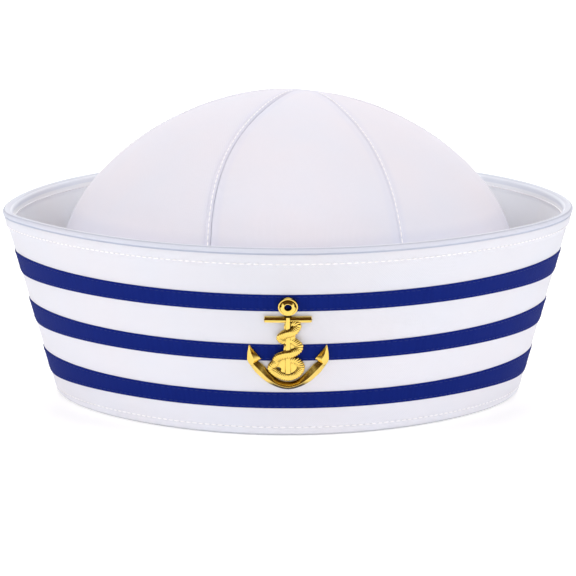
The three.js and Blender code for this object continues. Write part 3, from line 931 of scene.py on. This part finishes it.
# %% The face behind the badge
BADGE_WIDTH = 31.2
BADGE_HEIGHT = 40.3
BADGE_FOOT = 20.4
BADGE_BACK = 0.62
badge_half = BADGE_WIDTH / 2
front_lean = math.atan2(FLARE_FRONT, BRIM_HEIGHT)


def front_face(across, up):
    height = BADGE_FOOT + up * math.cos(front_lean)
    half_width = BASE_HALF_WIDTH + FLARE_SIDE * height / BRIM_HEIGHT
    turn = across / half_width
    for _ in range(4):
        turn = math.asin(across / (half_width * (1 - PLAN_PINCH * math.sin(2 * turn) ** 2)))
    return on_brim(turn - math.pi / 2, 0, height)


def off_front(across, up, out):
    reach = 0.5
    sideways = front_face(across + reach, up) - front_face(across - reach, up)
    upwards = front_face(across, up + reach) - front_face(across, up - reach)
    return front_face(across, up) + sideways.cross(upwards).normalized() * out * MM


print("badge foot at", round(off_front(0, 0, 0).z / MM, 1), "mm up the brim")

# %% [markdown]
# Most of the badge is bars of a given section along a line. A flat grid wrapped round on itself makes such
# a bar: one way goes along it, the other round its section, the edges that meet are merged and open ends
# are filled. A smooth curve through a short table of stations gives the line.

# %% Bars for the casting
def through(points, steps):
    """A smooth curve through the points, with a number of steps between each two."""
    padded = [2 * points[0] - points[1], *points, 2 * points[-1] - points[-2]]
    curve = []
    for a, b, c, d in zip(padded, padded[1:], padded[2:], padded[3:]):
        for step in range(steps):
            t = step / steps
            bend = (2 * a - 5 * b + 4 * c - d) * t * t
            twist = (3 * b - a - 3 * c + d) * t**3
            curve.append(0.5 * (2 * b + (c - a) * t + bend + twist))
    return [*curve, points[-1]]


def add_bar(stations, section, place):
    """place(station, spot) gives a point of the bar, at a station along it and a spot of its section."""
    along, around = len(stations) - 1, len(section)
    bar = bmesh.new()
    bmesh.ops.create_grid(bar, x_segments=around, y_segments=along, size=1)
    for vert in bar.verts:
        column, row = grid_place(vert, around, along)
        vert.co = place(stations[row], section[column % around])
    bmesh.ops.remove_doubles(bar, verts=bar.verts, dist=0.001)
    bmesh.ops.holes_fill(bar, edges=[edge for edge in bar.edges if edge.is_boundary], sides=0)
    bmesh.ops.recalc_face_normals(bar, faces=bar.faces)
    if bar.calc_volume(signed=True) < 0:
        bmesh.ops.reverse_faces(bar, faces=bar.faces)
    pour(bar, badge)


def badge_at(across, up, out=0):
    return Vector((across * badge_half, up * BADGE_HEIGHT, BADGE_BACK + out))


badge = bmesh.new()
print("badge", BADGE_WIDTH, "by", BADGE_HEIGHT, "mm")

# %% [markdown]
# The arms are a crescent with a barbed fluke at each end. Their face is two slopes that meet in a ridge
# near the middle: the outer slope looks down and mirrors the pale floor, and the inner one looks up and
# mirrors the dark of the room. That pair is what makes polished castings look sharp.

# %% Arms
ARM_STATIONS = table(
    "out_across out_up in_across in_up",
    (0, 0, 0, 0.075),
    (0.29, 0.028, 0.23, 0.102),
    (0.55, 0.09, 0.43, 0.176),
    (0.8, 0.188, 0.62, 0.266),
    (0.96, 0.288, 0.74, 0.302),
    (1, 0.328, 0.65, 0.33),
    (0.985, 0.4, 0.79, 0.402),
    (0.95, 0.474, 0.935, 0.474),
)
SMOOTH_STATIONS = 4
CURVE_STEPS = 6
ARM_SECTION = table(
    "inwards out",
    (0, 0), (0, 0.45), (0.04, 0.75), (0.52, 1.95), (0.57, 1.95), (0.98, 0.45), (1, 0.25), (1, 0),
)
FULL_RELIEF_WIDTH = 3.2
TIP_RELIEF = 0.25


def arm_edges(side):
    def edge(across, up):
        points = [Vector((side * s[across], s[up])) for s in ARM_STATIONS]
        bend = [Vector((-points[1].x, points[1].y)), *points[:SMOOTH_STATIONS]]
        curve = through(bend, CURVE_STEPS)[CURVE_STEPS:]
        straight = through(points[SMOOTH_STATIONS - 1:SMOOTH_STATIONS + 1], 4)[1:]
        return [*curve, *straight, *points[SMOOTH_STATIONS + 1:]]

    return list(zip(edge("out_across", "out_up"), edge("in_across", "in_up")))


def add_arms():
    def place(station, spot):
        outer, inner = station
        across, up = outer.lerp(inner, spot["inwards"])
        width = math.hypot((outer.x - inner.x) * badge_half, (outer.y - inner.y) * BADGE_HEIGHT)
        relief = min(1, TIP_RELIEF + (1 - TIP_RELIEF) * width / FULL_RELIEF_WIDTH)
        return badge_at(across, up, spot["out"] * relief)

    add_bar(arm_edges(-1)[::-1][:-1] + arm_edges(1), ARM_SECTION, place)


add_arms()
print("arms:", len(badge.faces), "faces")

# %% [markdown]
# The shank is a bar with a flat raised middle that narrows upwards. The rope goes over it and under it, so
# the flat shows between the turns.

# %% Shank
SHANK_STATIONS = table(
    "up half",
    (0.125, 0.12), (0.3, 0.11), (0.6, 0.095), (0.8, 0.085),
)
SHANK_SECTION = table(
    "across out",
    (-1, 0), (-1, 0.9), (-0.82, 1.2), (-0.5, 1.95), (-0.42, 2.0), (0.42, 2.0), (0.5, 1.95), (0.82, 1.2),
    (1, 0.9), (1, 0),
)


def add_shank():
    def place(station, spot):
        up, half = station
        return badge_at(half * spot["across"], up, spot["out"])

    line = through([Vector((s["up"], s["half"])) for s in SHANK_STATIONS], CURVE_STEPS)
    add_bar(line, SHANK_SECTION, place)


add_shank()
print("with the shank:", len(badge.faces), "faces")

# %% [markdown]
# The stock is a straight crossbar whose upper edge is bevelled: looked at from the front, its narrow upper
# slope is dark and its face is bright. Its section is two slopes that meet in a ridge, and it narrows at
# both ends.

# %% Stock
STOCK_LENGTH = 17.9
STOCK_UP = 0.768
STOCK_STATIONS = table(
    "across size",
    (-1, 0.8), (-0.97, 1), (-0.5, 1), (0, 1), (0.5, 1), (0.97, 1), (1, 0.8),
)
STOCK_SECTION = table(
    "up out",
    (-1.4, 0), (-1.4, 0.9), (-1.2, 1.25), (-0.02, 1.75), (0.04, 1.75), (0.1, 1.65), (0.82, 0.8),
    (0.9, 0.45), (0.9, 0),
)


def add_stock():
    def place(station, spot):
        up = STOCK_UP * BADGE_HEIGHT + spot["up"] * station["size"]
        across = station["across"] * STOCK_LENGTH / 2
        return Vector((across, up, BADGE_BACK + spot["out"] * station["size"]))

    add_bar(STOCK_STATIONS, STOCK_SECTION, place)


add_stock()
print("with the stock:", len(badge.faces), "faces")

# %% [markdown]
# The eye at the top is a thin outer rim, a groove inside it and a cone that rises from the groove to a lip
# round the hole. In the lower half the groove is filled, so that half mirrors the floor and stays bright,
# while the cone's upper half is dark.

# %% Eye
EYE_UP = 0.907
ROUND_STEPS = 48
EYE_SECTION = [
    (1.35, 0), (1.35, 1.7), (1.45, 1.85), (1.68, 1.86), (1.8, 1.75), (2.95, 0.8), (3.08, 0.78), (3.14, 1.3),
    (3.22, 1.5), (3.3, 1.55), (3.62, 1.55), (3.71, 1.42), (3.76, 0.7), (3.76, 0),
]
GROOVE_FROM = 1.7
GROOVE_TO = 3.25
GROOVE_FILLED = 1.6


def add_eye():
    def place(step, spot):
        radius, out = spot
        turn = 2 * math.pi * (step % ROUND_STEPS) / ROUND_STEPS
        if GROOVE_FROM < radius < GROOVE_TO:
            out += (GROOVE_FILLED - out) * max(0, -math.sin(turn)) ** 0.5
        centre = EYE_UP * BADGE_HEIGHT
        return Vector((radius * math.cos(turn), centre + radius * math.sin(turn), BADGE_BACK + out))

    add_bar(range(ROUND_STEPS + 1), EYE_SECTION, place)


add_eye()
print("with the eye:", len(badge.faces), "faces")

# %% [markdown]
# The rope is three strands laid together: its section is a circle with three lobes, and the lobes turn as
# the section goes along the line. Cast small, it shows as slanted cuts along both edges. It is flattened a
# little towards the cloth, and it goes over the shank at each crossing in front.

# %% Rope
ROPE_HALF_WIDTH = 1.75
ROPE_HALF_THICKNESS = 1.15
ROPE_LAY = 2.2
ROPE_NOTCH = 0.2
ROPE_AROUND = 24
STRANDS = 3
ROPE_STEPS_EACH = 26
ROPE_TURNS = table(
    "across up out",
    (0.1, 0.735, 0.8), (0.215, 0.705, 1.2), (0.13, 0.65, 1.9), (-0.05, 0.62, 1.9), (-0.17, 0.58, 1.3),
    (-0.1, 0.54, 0.9), (0.1, 0.535, 0.9), (0.25, 0.49, 1.3), (0.23, 0.445, 1.5), (0.08, 0.41, 1.9),
    (-0.1, 0.395, 1.9), (-0.24, 0.36, 1.4), (-0.29, 0.31, 1.1), (-0.385, 0.245, 1.1),
    (-0.23, 0.18, 1.3), (0, 0.152, 1.5), (0.2, 0.18, 1.3), (0.3, 0.25, 1.1), (0.21, 0.315, 1),
    (0.04, 0.33, 0.8),
)


def add_rope():
    line = through([badge_at(s["across"], s["up"], s["out"]) for s in ROPE_TURNS], ROPE_STEPS_EACH)
    lengths = lengths_along(line)

    def place(row, column):
        before, following = line[max(row - 1, 0)], line[min(row + 1, len(line) - 1)]
        heading = (following - before).normalized()
        side = heading.cross(Vector((0, 0, 1))).normalized()
        up = side.cross(heading)
        turn = 2 * math.pi * column / ROPE_AROUND
        lobe = abs(math.cos(STRANDS / 2 * (turn - 2 * math.pi * lengths[row] / ROPE_LAY)))
        size = 1 - ROPE_NOTCH + ROPE_NOTCH * lobe**0.6
        across = side * size * ROPE_HALF_WIDTH * math.cos(turn)
        return line[row] + across + up * size * ROPE_HALF_THICKNESS * math.sin(turn)

    add_bar(range(len(line)), range(ROPE_AROUND), place)
    return lengths[-1]


print("rope", round(add_rope(), 1), "mm long; the badge has", len(badge.faces), "faces")

# %% [markdown]
# Between the turns of the rope the casting is solid: thin oval plates fill each turn, and the lowest has
# one small round hole, through which the cloth shows. Each plate is a ring from an inner outline out to an
# oval edge. A plain plate has a pinhole that the shank covers.

# %% Plates between the turns
PLATES = table(
    "up across half_width half_height out hole",
    (0.235, 0, 0.36, 0.13, 1.75, 1.0),
    (0.455, 0.1, 0.21, 0.065, 1.8, 0.05),
    (0.59, -0.02, 0.2, 0.06, 1.8, 0.05),
    (0.69, 0.08, 0.18, 0.05, 1.6, 0.05),
)
PLATE_SECTION = [(0, 0), (0, 0.8), (0.04, 0.95), (0.5, 1.0), (0.97, 0.95), (1, 0.8), (1, 0)]
HOLE_ACROSS = -0.245
HOLE_UP = 0.232


def add_plate(plate):
    def place(step, spot):
        turn = 2 * math.pi * (step % ROUND_STEPS) / ROUND_STEPS
        way = Vector((math.cos(turn), math.sin(turn)))
        pierced = plate["hole"] > 0.5
        middle = Vector((HOLE_ACROSS, HOLE_UP)) if pierced else Vector((plate["across"], plate["up"]))
        hole = Vector((middle.x * badge_half, middle.y * BADGE_HEIGHT)) + plate["hole"] * way
        edge_across = (plate["across"] + plate["half_width"] * way.x) * badge_half
        edge_up = (plate["up"] + plate["half_height"] * way.y) * BADGE_HEIGHT
        share, out = spot
        x, y = hole.lerp(Vector((edge_across, edge_up)), share)
        return Vector((x, y, BADGE_BACK + plate["out"] * out))

    add_bar(range(ROUND_STEPS + 1), PLATE_SECTION, place)


for plate in PLATES:
    add_plate(plate)
print("the whole badge has", len(badge.faces), "faces")

# %% [markdown]
# Last, every point of the flat badge is laid on the brim, and whatever would reach behind its back is
# pressed flat there, as the back of a stamped badge is.

# %% Badge laid on the brim
for vert in badge.verts:
    across, up, out = vert.co
    vert.co = off_front(across, up, max(out, BADGE_BACK))
badge_piece = finish_piece("anchor_badge_gilt", badge, gilt, ["anchor_badge"])
badge_piece.data.set_sharp_from_angle(angle=math.radians(24))

# %% [markdown]
# Inside the brim the pin ends in a round clutch with a domed back and a rolled edge, which shows from
# behind. It is turned work, so its section is spun, then stood square to the wall.

# %% Clutch
PIN_UP_BADGE = 26.4
PIN_RADIUS = 0.9
PIN_LENGTH = 4.2
PIN_MIDDLE = -2.0
CLUTCH_FACE = -3.55
CLUTCH_SECTION = [
    (0, 0), (4.3, 0), (4.6, 0.25), (4.6, 0.6), (4.3, 0.85), (3.7, 0.8), (3.2, 1.0), (1.6, 1.5), (0, 1.6),
]


def clutch():
    turned = bmesh.new()
    points = [turned.verts.new((radius * MM, 0, out * MM)) for radius, out in CLUTCH_SECTION]
    edges = [turned.edges.new(pair) for pair in zip(points, points[1:])]
    spin_round(turned, points, edges, 40)
    bmesh.ops.remove_doubles(turned, verts=turned.verts, dist=0.00001)
    sizes = {"radius1": PIN_RADIUS * MM, "radius2": PIN_RADIUS * MM, "depth": PIN_LENGTH * MM}
    middle = Matrix.Translation((0, 0, PIN_MIDDLE * MM))
    bmesh.ops.create_cone(turned, cap_ends=True, segments=16, matrix=middle, **sizes)
    bmesh.ops.recalc_face_normals(turned, faces=turned.faces)
    foot = off_front(0, PIN_UP_BADGE, CLUTCH_FACE)
    inwards = (off_front(0, PIN_UP_BADGE, CLUTCH_FACE - 1) - foot).normalized()
    turn = inwards.to_track_quat("Z", "X").to_matrix().to_4x4()
    bmesh.ops.transform(turned, matrix=Matrix.Translation(foot) @ turn, verts=turned.verts)
    return turned


pin_piece = finish_piece("badge_clutch", clutch(), gilt, ["badge_pin"])
pin_piece.data.set_sharp_from_angle(angle=math.radians(38))

# %% [markdown]
# The cap stands on a plain pale floor that runs on past the picture and glows a little, as paper lit from
# below does, so it stays white and lights the flared brim from underneath. The room is bright at the
# horizon and dark above it. The cloth hardly shows that, because it gathers light from everywhere, but the
# gilt mirrors the dark in every slope that looks up. The soft lights stay out of those mirrors.

# %% Floor, room and lights
FLOOR_GLOW = 0.39
ROOM_GLOW = 0.9
WARM_DARK = (0.10, 0.058, 0.032)
ROOM_STOPS = table(
    "height colour",
    (0.0, (1, 1, 1)), (0.025, (0.9, 0.9, 0.9)), (0.06, WARM_DARK),
)
SOFT_LIGHTS = table(
    "name place size watts",
    ("front", (0, -2.6, 1.2), 2.2, 24),
    ("left", (-2.2, -0.8, 1.2), 1.8, 29),
    ("right", (2.2, -0.8, 1.2), 1.8, 29),
    ("top", (0, -0.2, 2.6), 2.4, 29.5),
    ("back", (0, 2.2, 1.4), 1.8, 52),
)


def stage_floor():
    ground = bmesh.new()
    bmesh.ops.create_grid(ground, x_segments=1, y_segments=1, size=12)
    floor = as_object("floor", ground)
    matt = {"Base_Color": (0.8, 0.8, 0.8, 1), "Roughness": 0.95, "Specular_IOR_Level": 0.0}
    glow = {"Emission_Color": (1, 1, 1, 1), "Emission_Strength": FLOOR_GLOW}
    floor.data.materials.append(new_finish("floor_paper", **matt, **glow)[0])
    floor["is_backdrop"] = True


def room():
    world = bpy.data.worlds.new("room")
    world.use_nodes = True
    bpy.context.scene.world = world
    tree = world.node_tree
    height = parts(tree, add_node(tree, "ShaderNodeTexCoord").outputs["Generated"])[2]
    ramp = add_node(tree, "ShaderNodeValToRGB", {0: height})
    elements = ramp.color_ramp.elements
    while len(elements) < len(ROOM_STOPS):
        elements.new(0.5)
    for element, stop in zip(elements, ROOM_STOPS):
        element.position = stop["height"]
        element.color = (*stop["colour"], 1)
    tree.links.new(ramp.outputs[0], tree.nodes["Background"].inputs["Color"])
    tree.nodes["Background"].inputs["Strength"].default_value = ROOM_GLOW


def soft_light(name, place, size, watts):
    lamp = bpy.data.lights.new(name, "AREA")
    lamp.shape = "DISK"
    lamp.size = size
    lamp.energy = watts
    light = bpy.data.objects.new(name, lamp)
    light.location = place
    light.rotation_euler = (Vector((0, 0, 0.06)) - Vector(place)).to_track_quat("-Z", "Y").to_euler()
    light.visible_glossy = False
    bpy.context.scene.collection.objects.link(light)


stage_floor()
room()
for light in SOFT_LIGHTS:
    soft_light(**light)
bpy.context.scene.view_settings.view_transform = "Standard"
print("lit by", len(SOFT_LIGHTS), "soft lights")

# %% Finish
low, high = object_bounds()
print("the dressed cap measures", [round(side / MM, 1) for side in high - low], "mm")
